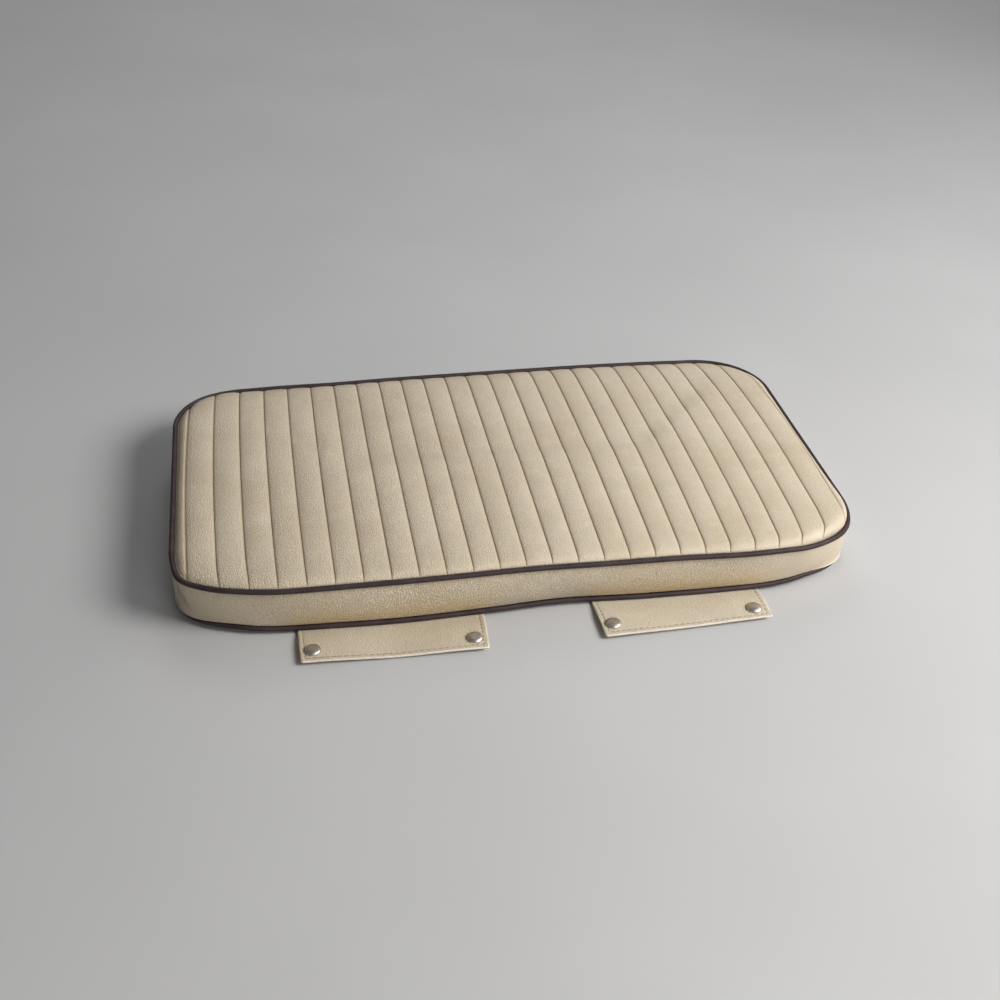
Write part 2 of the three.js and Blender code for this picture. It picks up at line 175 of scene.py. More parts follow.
# Colours, how fine each texture is, between which of its values it takes effect, how deep its
# relief is in metres, and the roughness
vinyl = {
    "light": (0.655, 0.57, 0.44), "deep": (0.575, 0.485, 0.355), "valley": (0.38, 0.29, 0.19),
    # The seam colour is painted shade
    # The yellowish colour is painted bounce light from the flaps
    "seam": (0.195, 0.11, 0.035), "yellow": (0.64, 0.475, 0.22), "worn": (0.74, 0.66, 0.53),
    # The pale cut edge colour is the real cut edge on the flaps' rims, and painted light on their
    # faces
    "cut": (0.78, 0.73, 0.63), "smooth": (0.5, 0.43, 0.33),
    "grain": 540, "crinkle": 330, "patches": 16, "handling": 70, "drift": 150,
    "driftBy": (0.004, 0.004, 0.004), "lie": (0, 0.6, -0.5), "stretch": (1, 0.5, 0.5),
    "pebbleSlope": (0.0, 0.22), "patchSpan": (0.3, 0.62), "creaseSpan": (0.42, 0.68),
    "wearSpan": (0.5, 0.7), "cutSpan": (0.35, 0.6),
    "grainDepth": 0.00026, "crinkleDepth": 0.0004, "roughness": (0.48, 0.6), "edgeDullness": 0.08,
    "specular": 0.45, "sheen": 0.06, "sheenRoughness": 0.4,
}
# How far each of the vinyl's colours covers the ones before it, where it is at its strongest
coverage = {
    # The yellowish cover over the flaps is painted bounce light
    "smooth": 0.24, "deep": 0.5, "yellow": 0.6, "valley": 0.4, "seam": 0.92, "worn": 0.3,
    "cut": (0.6, 1.0),
}
piping = {
    "light": (0.05, 0.03, 0.032), "deep": (0.022, 0.013, 0.014), "rubbed": (0.075, 0.05, 0.052),
    "patches": 55, "wrinkle": 330, "grain": 900, "grainDepth": 0.00008, "wrinkleDepth": 0.00022,
    "patchSpan": (0.35, 0.68), "rubbedSpan": (0.5, 0.8), "rubbing": 0.35,
    "roughness": (0.5, 0.66), "specular": 0.34,
}
nickel = {
    "bright": (0.64, 0.61, 0.57), "dull": (0.51, 0.47, 0.43), "roughness": (0.5, 0.34),
    "cloud": 190, "colourSpan": (0.3, 0.6), "polishSpan": (0.3, 0.7), "scratch": 420,
    "scratchTurn": (0, 0, 0.6), "scratchStretch": (1, 14, 1), "scratchDepth": 0.00001,
}
thread = {
    "light": (0.44, 0.31, 0.2), "deep": (0.31, 0.2, 0.125), "twist": 1400, "plyShade": 0.45,
    "fade": 120, "fadeSpan": (0.35, 0.65), "depth": 0.00005, "roughness": (0.62, 0.8),
}
# The needle holes' dark pits are painted shade, darkest in the middle
hole = {
    "rim": (0.2, 0.1, 0.06), "middle": (0.06, 0.03, 0.02), "speck": 900,
    "speckSpan": (0.4, 0.65), "depth": 0.00004, "roughness": (0.7, 0.95),
}


def newMaterial(name):
    material = bpy.data.materials.new(name)
    material.use_nodes = True
    tree = material.node_tree
    shader = tree.nodes["Principled BSDF"]
    place = put(tree, "ShaderNodeTexCoord").outputs["Object"]
    return material, tree, shader, place


def noise(tree, place, scale, **more):
    return put(tree, "ShaderNodeTexNoise", {"Vector": place, "Scale": scale, **more}).outputs["Fac"]


def cellEdges(tree, place, scale, **more):
    return put(tree, "ShaderNodeTexVoronoi", {"Vector": place, "Scale": scale, **more},
               feature="DISTANCE_TO_EDGE").outputs["Distance"]


def mark(tree, name):
    return put(tree, "ShaderNodeAttribute", attribute_name=name).outputs["Fac"]


def ramp(tree, value, span, *colours):
    node = put(tree, "ShaderNodeValToRGB", {"Fac": value})
    for element, at, colour in zip(node.color_ramp.elements, span, colours):
        element.position = at
        element.color = (*colour, 1)
    return node.outputs["Color"]


def spread(tree, value, low, high, fromLow=0.0, fromHigh=1.0):
    return put(tree, "ShaderNodeMapRange", {
        "Value": value, "From Min": fromLow, "From Max": fromHigh, "To Min": low, "To Max": high,
    }).outputs["Result"]


def covered(tree, share, ground, colour):
    node = put(tree, "ShaderNodeMix", {0: share, 6: ground, 7: (*colour, 1)}, data_type="RGBA")
    return node.outputs[2]


def bump(tree, height, depth, normal=None):
    inputs = {"Height": height, "Distance": depth, "Strength": 1.0}
    if normal:
        inputs["Normal"] = normal
    return put(tree, "ShaderNodeBump", inputs).outputs["Normal"]


def makeVinyl():
    material, tree, shader, place = newMaterial("creamVinyl")
    drift = put(tree, "ShaderNodeTexNoise", {"Vector": place, "Scale": vinyl["drift"]})
    bent = put(tree, "ShaderNodeVectorMath", {0: drift.outputs["Color"], 1: vinyl["driftBy"]},
               operation="MULTIPLY").outputs[0]
    moved = put(tree, "ShaderNodeVectorMath", {0: place, 1: bent}, operation="ADD").outputs[0]
    grainPlace = put(tree, "ShaderNodeMapping", {
        "Vector": moved, "Rotation": vinyl["lie"], "Scale": vinyl["stretch"]}).outputs["Vector"]
    pebble = cellEdges(tree, grainPlace, vinyl["grain"], Randomness=0.9)
    pebbleTop = spread(tree, pebble, 0.0, 1.0, *vinyl["pebbleSlope"])
    crinkle = noise(tree, grainPlace, vinyl["crinkle"], Detail=4, Roughness=0.6, Distortion=1.2)
    patches = noise(tree, place, vinyl["patches"], Detail=3)
    handled = noise(tree, place, vinyl["handling"], Detail=5, Roughness=0.65)

    def times(first, second):
        return maths(tree, "MULTIPLY", first, second)

    coarse = mark(tree, "coarseness")
    shares = {
        "smooth": spread(tree, coarse, coverage["smooth"], 0.0),
        "deep": times(spread(tree, crinkle, 0.0, coverage["deep"], *vinyl["creaseSpan"]), coarse),
        # Painted bounce light from the flaps: a yellowish tint low on the front boxing
        "yellow": spread(tree, mark(tree, "yellowed"), 0.0, coverage["yellow"]),
        "valley": times(spread(tree, pebbleTop, coverage["valley"], 0.0), coarse),
        # The seam mark paints shade: in the seam grooves, the boxing's crease, over the left end
        # strip and along the flaps' stitch lines
        "seam": spread(tree, mark(tree, "seam"), 0.0, coverage["seam"]),
        "worn": times(mark(tree, "crown"), spread(
            tree, handled, 0.0, coverage["worn"], *vinyl["wearSpan"])),
        # The pale cut edge colour: real on the flaps' rims, painted light over the flaps' faces
        "cut": times(mark(tree, "cut"), spread(
            tree, handled, *coverage["cut"], *vinyl["cutSpan"])),
    }
    colour = ramp(tree, patches, vinyl["patchSpan"], vinyl["deep"], vinyl["light"])
    for name, share in shares.items():
        colour = covered(tree, share, colour, vinyl[name])
    roughness = maths(tree, "ADD", spread(tree, handled, *vinyl["roughness"]),
                      spread(tree, pebbleTop, vinyl["edgeDullness"], 0.0))
    creased = bump(tree, crinkle, times(coarse, vinyl["crinkleDepth"]))
    feed(tree, shader, {
        "Base Color": colour, "Roughness": roughness,
        "Normal": bump(tree, pebbleTop, times(coarse, vinyl["grainDepth"]), creased),
        "Specular IOR Level": vinyl["specular"], "Sheen Weight": vinyl["sheen"],
        "Sheen Roughness": vinyl["sheenRoughness"]})
    return material


def makePipingVinyl():
    material, tree, shader, place = newMaterial("brownPipingVinyl")
    patches = noise(tree, place, piping["patches"], Detail=5)
    grain = cellEdges(tree, place, piping["grain"])
    wrinkle = noise(tree, place, piping["wrinkle"], Detail=3, Distortion=0.8)
    ground = ramp(tree, patches, piping["patchSpan"], piping["deep"], piping["light"])
    rubbing = spread(tree, wrinkle, 0.0, piping["rubbing"], *piping["rubbedSpan"])
    rubbed = covered(tree, rubbing, ground, piping["rubbed"])
    soft = bump(tree, wrinkle, piping["wrinkleDepth"])
    feed(tree, shader, {
        "Base Color": rubbed, "Roughness": spread(tree, patches, *piping["roughness"]),
        "Normal": bump(tree, grain, piping["grainDepth"], soft),
        "Specular IOR Level": piping["specular"]})
    return material


def makeNickel():
    material, tree, shader, place = newMaterial("polishedNickel")
    cloud = noise(tree, place, nickel["cloud"], Detail=6, Roughness=0.7)
    stretched = put(tree, "ShaderNodeMapping", {
        "Vector": place, "Rotation": nickel["scratchTurn"], "Scale": nickel["scratchStretch"],
    }).outputs["Vector"]
    scratch = noise(tree, stretched, nickel["scratch"], Detail=3)
    feed(tree, shader, {
        "Base Color": ramp(tree, cloud, nickel["colourSpan"], nickel["dull"], nickel["bright"]),
        "Roughness": spread(tree, cloud, *nickel["roughness"], *nickel["polishSpan"]),
        "Normal": bump(tree, scratch, nickel["scratchDepth"]), "Metallic": 1})
    return material


def makeThread():
    material, tree, shader, place = newMaterial("sewingThread")
    twist = put(tree, "ShaderNodeTexWave", {
        "Vector": place, "Scale": thread["twist"], "Distortion": 2.0, "Detail": 1.0},
        bands_direction="DIAGONAL").outputs["Fac"]
    faded = noise(tree, place, thread["fade"])
    ground = ramp(tree, faded, thread["fadeSpan"], thread["deep"], thread["light"])
    plied = covered(tree, spread(tree, twist, 0.0, thread["plyShade"]), ground, thread["deep"])
    feed(tree, shader, {
        "Base Color": plied, "Roughness": spread(tree, twist, *thread["roughness"]),
        "Normal": bump(tree, twist, thread["depth"])})
    return material


def makeHoleShade():
    material, tree, shader, place = newMaterial("needleHoleShade")
    speck = noise(tree, place, hole["speck"])
    feed(tree, shader, {
        "Base Color": ramp(tree, speck, hole["speckSpan"], hole["middle"], hole["rim"]),
        "Roughness": spread(tree, speck, *hole["roughness"]),
        "Normal": bump(tree, speck, hole["depth"])})
    return material


creamVinyl = makeVinyl()
brownPipingVinyl = makePipingVinyl()
polishedNickel = makeNickel()
sewingThread = makeThread()
needleHoleShade = makeHoleShade()
print("finishes made")


pad = {
    "length": 659, "depth": 365, "cornerRadius": 74, "upperPiping": 54.5, "lowerPiping": 5.5,
    "pipingRadius": 2.6, "pipingRoom": 0.3, "dome": 1.5, "panelInset": 3.1,
    "channels": 25, "pitch": 25.4, "roundness": 3.4, "nip": 1.15, "nipWidth": 0.32,
    "groove": 1.6, "grooveAtRight": 0.64, "shallowFrom": 40, "shallowOver": 200,
    "grooveFade": 7, "grooveAtFront": 0.55, "grooveAtBack": 1.2,
    # The strip left of the first seam gets painted shade, as this share of the seam colour
    "endSeam": {"left": 0.8, "right": 0.55}, "leftShade": 0.13,
    "boxingSetback": 0.6, "shiftFade": 60,
}
# The seams' front ends hook over to the left on the right half, and the first seam swerves
hook = {"by": 2.2, "from": 90, "over": 180, "to": 312, "fade": 24, "reach": 11}
firstSeam = {"by": 3.2, "reach": 34, "fade": 13}
halfLength = pad["length"] / 2
halfDepth = pad["depth"] / 2
cornerRadius = pad["cornerRadius"]
straightX = halfLength - cornerRadius
straightY = halfDepth - cornerRadius

# Behind each edge: the panel's rise over the piping and how soon it gets there, the height of its
# sewn edge, the seam's angle round the piping, and how far inside the outline the edges run
sides = {
    "front": {"rise": 7.6, "reach": 3.4, "edge": 2.9, "seam": 145, "upper": 0, "lower": 7.5},
    "right": {"rise": 7.4, "reach": 2.6, "edge": 3.4, "seam": 138, "upper": 1, "lower": 3.7},
    "back": {"rise": 5.6, "reach": 11, "edge": 0.5, "seam": 168, "upper": 0.3, "lower": 5},
    "left": {"rise": 7, "reach": 5, "edge": 0.2, "seam": 172, "upper": 0, "lower": 2.2},
}

# The boxing: its bulge, how far it comes to overhang the lower piping, the angle and the distance
# of its fold from that piping's centre, and the angle of its seam
boxing = {
    "front": {"bulge": 2.4, "overhang": 0, "fold": 100, "foldReach": 3.6, "seam": 120},
    "right": {"bulge": 3.6, "overhang": 3.4, "fold": -4, "foldReach": 4.5, "seam": 0},
    "back": {"bulge": 2.4, "overhang": 0, "fold": 100, "foldReach": 3.6, "seam": 120},
    "left": {"bulge": 3, "overhang": 3.5, "fold": 4, "foldReach": 3.9, "seam": 8},
}

# Where the sewn edges and the panel wander: x, y, push outwards, lift, reach
wander = {
    "upper": [
        (-322, -152, 5.5, 0, 14), (-272, -182, -4.6, 0, 20), (-5, -182, -2.3, 0, 45),
        (208, -182, 3.8, 0, 38), (280, -172, -2.4, -2.6, 24), (315, -152, 3, -3, 22),
        (-266, 180, -3.6, -0.9, 30), (-175, 182, -2.2, -0.9, 50), (112, 182, 1.7, 0, 70),
        (262, 180, -2.2, 0, 32),
    ],
    "lower": [
        (-322, -140, 1.5, 0.5, 18), (-282, -175, -4.5, 2, 24), (-130, -182, 3.2, 0, 50),
        (30, -182, -3.4, 0.6, 38), (185, -182, 0.8, 0, 45), (279, -174, -4.8, 2.6, 22),
        (322, -140, 2.4, 2.4, 20), (310, 165, -2, 1, 30), (-310, 165, -2, 1, 30),
    ],
    "panel": [(-288, 166, 1, 2.2, 26), (322, -130, 1.8, 0.4, 30)],
}
# How the seams are spaced, and how they bow on each side of the straight one: amount, reach
seams = {
    "shift": 4.3, "squeeze": -8.8, "lean": -4.7, "flare": 5, "straightAt": -80,
    "bowLeft": (-3.5, 235), "bowRight": (10, 395), "bowPower": 1.5,
}


# How far a point lies inside the true outline, and the way out to it
def nearestEdge(x, y):
    overX = np.abs(x) - straightX
    overY = np.abs(y) - straightY
    inCorner = (overX > 0) & (overY > 0)
    alongX = ~inCorner & (overX > overY)
    reach = np.where(inCorner, np.hypot(overX, overY), 1)
    normalX = np.where(inCorner, np.sign(x) * overX / reach, np.where(alongX, np.sign(x), 0))
    normalY = np.where(inCorner, np.sign(y) * overY / reach, np.where(alongX, 0, np.sign(y)))
    inset = cornerRadius - np.where(inCorner, reach, np.maximum(overX, overY))
    return inset, normalX, normalY


# A figure of a table with a row for each side, blended round the corners. The row for the right
# of the boxing sets in sooner
def besideEdge(table, figure, normalX, normalY):
    alongX = np.where(normalX > 0, table["right"][figure], table["left"][figure])
    alongY = np.where(normalY > 0, table["back"][figure], table["front"][figure])
    onset = np.where((normalX > 0) & (table is boxing), 1, 2)
    return mix(alongY, alongX, np.abs(normalX) ** onset)


def wandering(x, y, level):
    shift = np.zeros((*np.shape(x), 3))
    for rowX, rowY, push, lift, reach in wander[level]:
        share = np.exp(-((x - rowX) ** 2 + (y - rowY) ** 2) / (2 * reach ** 2))
        _, outX, outY = nearestEdge(np.array(rowX), np.array(rowY))
        shift += share[..., None] * np.array([outX * push, outY * push, lift])
    return shift


# How a sewn edge departs from the true outline, carried on to points of the plan
def edgeShift(x, y, level):
    inset, normalX, normalY = nearestEdge(x, y)
    drawnIn = besideEdge(sides, level, normalX, normalY) * np.exp(
        -np.maximum(inset, 0) / pad["shiftFade"])
    shift = np.stack([-normalX * drawnIn, -normalY * drawnIn, np.zeros_like(drawnIn)], -1)
    return shift + wandering(x, y, level)


def panelHalfDepth(x):
    overX = np.maximum(np.abs(x) - straightX, 0)
    radius = cornerRadius - pad["panelInset"]
    return straightY + np.sqrt(np.maximum(radius ** 2 - overX ** 2, 0))


def seamAt(index):
    fromMiddle = index - pad["channels"] / 2
    t = fromMiddle / (pad["channels"] / 2)
    return (fromMiddle * pad["pitch"] + seams["shift"] + seams["squeeze"] * t
            + seams["lean"] * t ** 2 + seams["flare"] * t ** 3)


def bowAt(x):
    fromStraight = x - seams["straightAt"]
    amount, reach = seams["bowRight"] if fromStraight > 0 else seams["bowLeft"]
    return amount * (abs(fromStraight) / reach) ** seams["bowPower"]


# A point of the top panel, with its groove left out
def panelSurface(x, y):
    inset, normalX, normalY = nearestEdge(x, y)
    shift = edgeShift(x, y, "upper") + wandering(x, y, "panel")
    inwards = np.maximum(inset - pad["panelInset"], 0)
    edge = besideEdge(sides, "edge", normalX, normalY) + shift[..., 2]
    climb = np.exp(-inwards / besideEdge(sides, "reach", normalX, normalY))
    shoulder = mix(besideEdge(sides, "rise", normalX, normalY), edge, climb)
    dome = pad["dome"] * (1 - (x / halfLength) ** 2) * (1 - (y / halfDepth) ** 2)
    points = np.stack([x + shift[..., 0], y + shift[..., 1], pad["upperPiping"] + shoulder + dome],
                      -1)
    return points, inwards


def pipingCentre(x, y, level):
    shift = edgeShift(x, y, level)
    return shift + np.stack([x, y, np.full_like(x, pad[level + "Piping"])], -1)


# The pad's mesh: where its columns and rows run, in shares of a channel, in millimetres from the
# panel's edge and in shares of the boxing's height, and how unlike its channels are
cushionMesh = {
    "shares": (-1, -0.97, -0.89, -0.62, -0.22, 0.22, 0.62, 0.89, 0.97),
    "endSteps": {"left": 11, "right": 12},
    "fromEdge": (0, 1, 2.2, 4, 6.5, 10, 15, 22, 32),
    "middleRows": 11,
    "boxingRows": (0.05, 0.13, 0.24, 0.37, 0.5, 0.63, 0.76, 0.87, 0.94),
    "hollowSteps": {"upper": 2, "lower": 5}, "lastAngle": 240, "dipShare": 0.6, "dipEnd": 2.5,
    "foldRows": (0.65, 0.45),
    "underside": ((-2.8, 1.5, 0.8), (-5.5, 0.5, 0.4), (-11, 0, 0)),
    "baseRings": (0.93, 0.84, 0.7, 0.52, 0.33, 0.15), "seamShare": 0.999,
    "seed": 11, "fullness": 0.08, "ownShare": 0.6, "seamWobble": 0.05, "waveTurns": 0.8,
    "waveCalm": 1.6,
}
cloth = {
    "vertex_group_mass": "sewn", "mass": 0.02, "tension_stiffness": 12,
    "compression_stiffness": 12, "shear_stiffness": 6, "bending_stiffness": 0.4,
    "use_pressure": True, "uniform_pressure_force": 4, "quality": 5,
}
inflation = {
    "frames": 20, "cap": 5, "crestShare": 0.3, "bulgeShare": 0.6, "bulge": 2.6,
    "crestWithin": 0.25, "crestRows": slice(12, -12), "peakToMean": 1.5,
}
# A soft fold on the boxing, where it turns the front left corner: drawn in on its left side, with
# painted shade laid along it
crease = {
    "start": (-329, -128, 52), "end": (-313, -156, 19), "inwards": (0.9, 0.42, 0),
    # shade is how much painted shade the fold takes
    "within": (0.02, 0.98), "depth": 2.6, "width": 8, "onset": 2.5, "shade": 0.55,
    "leftOf": -280, "frontOf": -100,
}
# How strong the grain is at the start of a stretch (but for the right end) and at its end, where
# that begins and how long it is. The front left corner adds some on the panel
coarseness = {
    "top": (0.88, 0.5, -180, 330),
    "boxing": (0.8, 1.4, -320, 130),
    "rightEnd": (0.45, 170, 110),
    "corner": {"added": 0.4, "frontOf": -130, "overDepth": 40, "leftOf": -190, "overLength": 70},
}
# The boxing over each flap, warmed by painted bounce light from the flap below: x from, x to,
# height, spread
paintedBounceWindows = ((-225, -40, 15, 12), (50, 235, 15, 12))
paintedBounceEdge = {"fade": 25, "frontOf": -120}


def slowWave(rng, count, waves):
    t = np.linspace(0, 2 * math.pi, count)
    total = np.zeros(count)
    for k in range(1, waves + 1):
        total += rng.normal() * np.sin(
            k * t * cushionMesh["waveTurns"] + rng.uniform(0, 2 * math.pi)) / k
    return total / cushionMesh["waveCalm"]


# Columns of the strip between an end of the panel and its last seam
def endStrip(seamX, side, end):
    radius = cornerRadius - pad["panelInset"]
    steps = cushionMesh["endSteps"][end]
    outerEnd = side * (straightX + radius)
    seamTurn = math.asin((abs(seamX) - straightX) / radius)
    strip = []
    for i in range(steps):
        turn = mix(math.pi / 2, seamTurn, i / steps)
        x = side * (straightX + radius * math.sin(turn))
        along = (x - outerEnd) / (seamX - outerEnd)
        strip.append({
            "x": x, "bow": mix(0, bowAt(seamX), along), "share": 2 * along - 1,
            "depth": pad["endSeam"][end] * along, "gap": abs(seamX - x), "channel": side})
    return strip


# Columns of the top panel: x, bow, how far from the middle of its channel, and its seam's depth
def panelColumns():
    columns = endStrip(seamAt(0), -1, "left")
    last = pad["channels"]
    for k in range(last):
        left, right = seamAt(k), seamAt(k + 1)
        depths = (pad["endSeam"]["left"] if k == 0 else 1,
                  pad["endSeam"]["right"] if k == last - 1 else 1)
        for share in cushionMesh["shares"]:
            t = (share + 1) / 2
            columns.append({
                "x": mix(left, right, t), "bow": mix(bowAt(left), bowAt(right), t), "share": share,
                "depth": mix(*depths, t), "gap": (1 - abs(share)) * (right - left) / 2,
                "channel": k})
    columns.append({"x": seamAt(last), "bow": bowAt(seamAt(last)), "share": 1,
                    "depth": pad["endSeam"]["right"], "gap": 0, "channel": last})
    return columns + endStrip(seamAt(last), 1, "right")[::-1]


# Rows of one column from the front to the back, where the front half may start further aside
def columnRows(frontX, backX):
    fromEdge, middleRows = cushionMesh["fromEdge"], cushionMesh["middleRows"]
    halves = []
    for x in (frontX, backX):
        half = [inwards - panelHalfDepth(x) for inwards in fromEdge]
        start = half[-1]
        half += [start * (1 - (i + 1) / (middleRows + 1)) for i in range(middleRows)]
        halves.append(half)
    return np.array(halves[0] + [0] + [-v for v in reversed(halves[1])])


# The top panel as a grid of columns by rows, with how deep and how nipped it is sewn at each point
def makePanel(columns, fullCrest):
    rng = np.random.default_rng(cushionMesh["seed"])
    channels = pad["channels"]
    count = 2 * (len(cushionMesh["fromEdge"]) + cushionMesh["middleRows"]) + 1
    x, y, depth, nip = np.zeros((4, len(columns), count))
    fullness, wobble = {}, {}
    for k in range(-1, channels + 1):
        own = cushionMesh["ownShare"] * rng.normal()
        fullness[k] = 1 + cushionMesh["fullness"] * (own + slowWave(rng, count, 3))
        wobble[k] = cushionMesh["seamWobble"] * slowWave(rng, count, 5)
    for c, column in enumerate(columns):
        aside = seamAt(0) - column["x"]
        swerve = firstSeam["by"] * smoothStep(1 - aside / (seamAt(0) - columns[0]["x"])) * (
            math.exp(-(min(aside, 0) / firstSeam["fade"]) ** 2))
        rows = columnRows(column["x"] + swerve, column["x"])
        reach = -rows[0]
        k, share = column["channel"], column["share"]
        sway = wobble[k] if share < 0 else wobble[min(k + 1, channels)]
        atEnds = 1 - (rows / reach) ** 2
        hooked = hook["by"] * smoothStep((column["x"] - hook["from"]) / hook["over"]) * smoothStep(
            (hook["to"] - column["x"]) / hook["fade"]) * (
            1 - smoothStep((rows + reach) / hook["reach"]))
        swerve *= 1 - smoothStep((rows + reach) / firstSeam["reach"])
        x[c] = column["x"] + (column["bow"] + sway * abs(share) ** 2) * atEnds - hooked + swerve
        y[c] = rows
        depth[c] = column["depth"] * abs(share) ** pad["roundness"]
        nip[c] = column["depth"] * math.exp(-column["gap"] / pad["nipWidth"])
        if 0 <= k < channels:
            depth[c] -= (1 - abs(share) ** pad["roundness"]) * (fullness[k] - 1)
    points, inwards = panelSurface(x, y)
    atEdge = np.where(y > 0, pad["grooveAtBack"], pad["grooveAtFront"])
    fade = mix(atEdge, 1, smoothStep(inwards / pad["grooveFade"]))
    groove = pad["groove"] * mix(1, pad["grooveAtRight"], smoothStep(
        (x - pad["shallowFrom"]) / pad["shallowOver"]))
    slack = 0 if fullCrest else inflation["crestShare"] * (1 - depth)
    points[..., 2] -= groove * (depth + slack) * fade + pad["nip"] * nip * fade
    return points, x, y, nip, atEdge * (nip * pad["nip"] + depth * groove)


# Rings of points from the panel's sewn edge down: round the upper piping, over the boxing, round
# the lower piping and in under the pad
def makeSides(borderX, borderY, dip, fullCrest):
    _, normalX, normalY = nearestEdge(borderX, borderY)
    outX = borderX + normalX * pad["panelInset"]
    outY = borderY + normalY * pad["panelInset"]
    upper = pipingCentre(outX, outY, "upper")
    lower = pipingCentre(outX, outY, "lower")
    out = np.stack([normalX, normalY, np.zeros_like(normalX)], -1)
    up = np.array([0, 0, 1])
    hollow = pad["pipingRadius"] + pad["pipingRoom"]
    rings = []

    def along(table, figure):
        return besideEdge(table, figure, normalX, normalY)

    def beside(centre, reach, degrees):
        angle = np.radians(degrees)
        return centre + out * (reach * np.cos(angle))[:, None] + up * (
            reach * np.sin(angle))[:, None]

    def addHollow(centre, firstAngle, steps, dips):
        for i in range(steps + 1):
            t = i / steps
            ring = beside(centre, hollow, mix(firstAngle, cushionMesh["lastAngle"], t))
            rings.append(ring - up * (dips * max(0, 1 - cushionMesh["dipEnd"] * t))[:, None])

    addHollow(upper, along(sides, "seam"), cushionMesh["hollowSteps"]["upper"],
              dip * cushionMesh["dipShare"])
    bulge = along(boxing, "bulge") * (1 if fullCrest else 1 - inflation["bulgeShare"])
    overhang = along(boxing, "overhang")
    for t in cushionMesh["boxingRows"]:
        hang = bulge * math.sin(math.pi * t) + overhang * t - pad["boxingSetback"]
        rings.append(mix(upper, lower, t) + out * hang[:, None])
    seam = along(boxing, "seam")
    fold = beside(lower, along(boxing, "foldReach"), along(boxing, "fold"))
    before, after = cushionMesh["foldRows"]
    rings += [mix(rings[-1], fold, before), fold, mix(fold, beside(lower, hollow, seam), after)]
    addHollow(lower, seam, cushionMesh["hollowSteps"]["lower"], dip * 0)
    for outwards, height, lifted in cushionMesh["underside"]:
        ring = lower + out * outwards
        ring[:, 2] = height + (lower[:, 2] - pad["lowerPiping"]) * lifted
        rings.append(ring)
    return rings


# Closes the underside: each further ring has half as many points as the one outside it
def closeUnderside(rings, outer):
    faces = []
    ring = rings[-1]
    for scale in cushionMesh["baseRings"]:
        ring = ring[::2]
        rings.append(ring * [scale, scale, 1])
        inner = [outer[-1] + 1 + i for i in range(len(ring))]
        for i, point in enumerate(inner):
            following = inner[(i + 1) % len(inner)]
            a, b, c = outer[2 * i], outer[2 * i + 1], outer[(2 * i + 2) % len(outer)]
            faces += [(a, point, b), (b, point, following, c)]
        outer = inner
    return faces + [tuple(outer[::-1])]


# The pad's points and faces, with its marks: which points are sewn, which lie on crests, and so on
def makeCushionMesh(fullCrest):
    columns = panelColumns()
    points, x, y, nip, sewnIn = makePanel(columns, fullCrest)
    grid = np.arange(x.size).reshape(x.shape)
    count = grid.shape[1]
    border = [*grid[:, 0], *grid[-1, 1:], *grid[-2::-1, -1], *grid[0, -2:0:-1]]
    rings = makeSides(x.ravel()[border], y.ravel()[border], sewnIn.ravel()[border], fullCrest)
    around, last = joinRings(border, rings, grid.size)
    faces = gridFaces(grid) + around + closeUnderside(rings, last)
    allPoints = np.concatenate([points.reshape(-1, 3)] + rings)

    order = np.arange(len(allPoints))
    boxingStart = grid.size + (cushionMesh["hollowSteps"]["upper"] + 1) * len(border)
    boxingEnd = boxingStart + len(cushionMesh["boxingRows"]) * len(border)
    isBoxing = (order >= boxingStart) & (order < boxingEnd)
    share = np.array([abs(column["share"]) for column in columns])
    onSeam = np.repeat(share > cushionMesh["seamShare"], count).reshape(grid.shape)
    onSeam[[0, -1], :] = True
    onSeam[:, [0, -1]] = True
    pinned = ~isBoxing
    pinned[:grid.size] = onSeam.ravel()
    atLeft = np.array([column["channel"] < 0 for column in columns])
    # The seam mark paints shade into each seam's groove
    paintedSeamShade, crownMark = np.zeros((2, len(allPoints)))
    # The strip left of the first seam gets painted shade too
    paintedSeamShade[:grid.size] = np.maximum(nip, pad["leftShade"] * atLeft[:, None]).ravel()
    crownMark[:grid.size] = np.repeat(1 - share ** 2, count)
    crests = grid[share < inflation["crestWithin"]][:, inflation["crestRows"]].ravel()
    return {
        "points": allPoints, "faces": faces, "isPanel": order < grid.size, "isBoxing": isBoxing,
        "pinned": pinned, "crests": crests, "seam": paintedSeamShade, "crown": crownMark,
    }


# Cloth, blown up from inside between its seams: gives how far each point moves, in millimetres
def blowUp(shape):
    piece = meshObject("cushionBlank", shape["points"], shape["faces"])
    group = piece.vertex_groups.new(name="sewn")
    group.add([int(i) for i in np.flatnonzero(shape["pinned"])], 1.0, "REPLACE")
    settings = piece.modifiers.new("vinyl", "CLOTH").settings
    for key, value in cloth.items():
        setattr(settings, key, value)
    settings.effector_weights.gravity = 0
    scene = bpy.context.scene
    for number in range(1, inflation["frames"] + 1):
        scene.frame_set(number)
    evaluated = piece.evaluated_get(bpy.context.evaluated_depsgraph_get())
    moved = np.zeros(len(shape["points"]) * 3)
    evaluated.data.vertices.foreach_get("co", moved)
    move = moved.reshape(-1, 3) / mm - shape["points"]
    scene.frame_set(1)
    bpy.data.objects.remove(piece)
    far = np.linalg.norm(move, axis=1)
    print("cloth moved points by up to", round(float(far.max()), 2), "mm, crests by",
          round(float(move[shape["isPanel"], 2].mean()), 2), "mm")
    return move * np.minimum(1, inflation["cap"] / np.maximum(far, 1e-9))[:, None]


# The cloth's movement, scaled so that the crests and the boxing swell by their planned shares
def swelling(shape):
    move = blowUp(shape)
    isBoxing = shape["isBoxing"]
    gain = inflation["crestShare"] * pad["groove"] / move[shape["crests"], 2].mean()
    bulged = np.abs(move[isBoxing][:, :2]).max(1).mean() * inflation["peakToMean"]
    boxingGain = inflation["bulgeShare"] * inflation["bulge"] / max(bulged, 1e-6)
    print("crest gain", round(float(gain), 3), "boxing gain", round(float(boxingGain), 3))
    return move * np.where(isBoxing, boxingGain, gain)[:, None]


